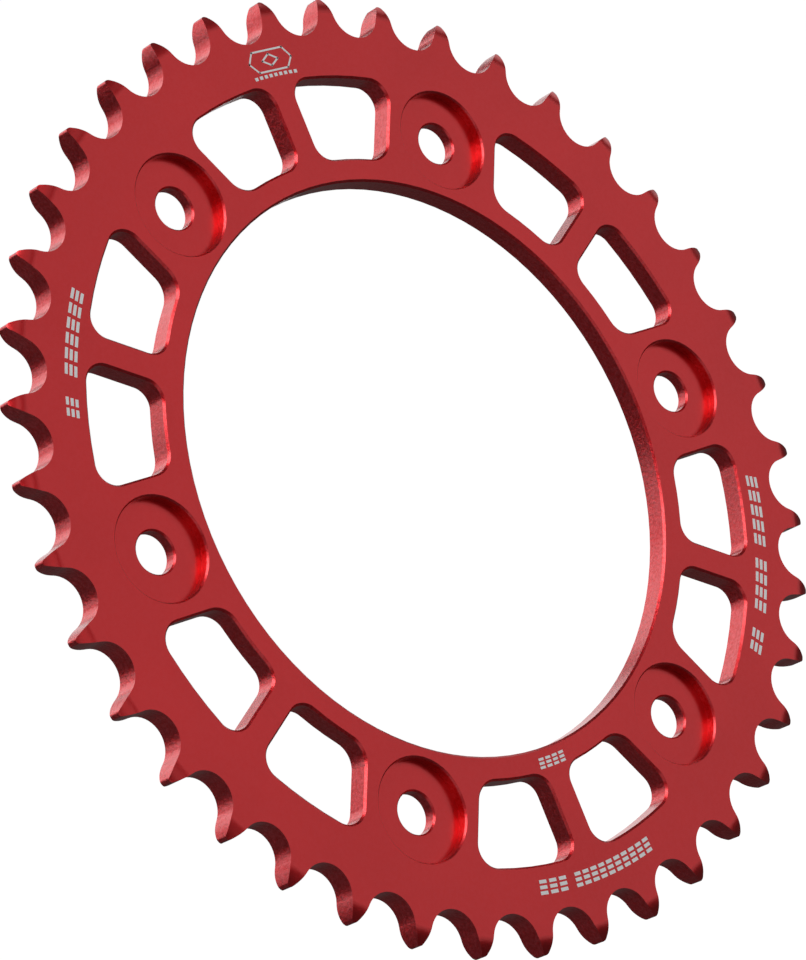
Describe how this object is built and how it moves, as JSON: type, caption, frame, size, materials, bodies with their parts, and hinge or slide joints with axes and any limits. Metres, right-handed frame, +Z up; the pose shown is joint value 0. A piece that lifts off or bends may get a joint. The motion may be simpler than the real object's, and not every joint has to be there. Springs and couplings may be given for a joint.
{
  "type": "rear sprocket",
  "caption": "Flat toothed rear drive sprocket for a motorcycle chain, bored for a hub, with counterbored bolt holes and lightening windows.",
  "frame": {"origin": "centre of the bore, halfway through the plate's thickness", "axes": "Y along the sprocket's axis with the counterbored face towards -Y and the hub side towards +Y; +Z up through one bolt hole; +X to the right when the counterbored face is seen"},
  "size_m": [0.2094, 0.0052, 0.2094],
  "materials": {
    "red_anodised_aluminium": "satin red anodised"
  },
  "bodies": {
    "root": {"sprocket_plate": "red_anodised_aluminium"}
  },
  "joints": []
}
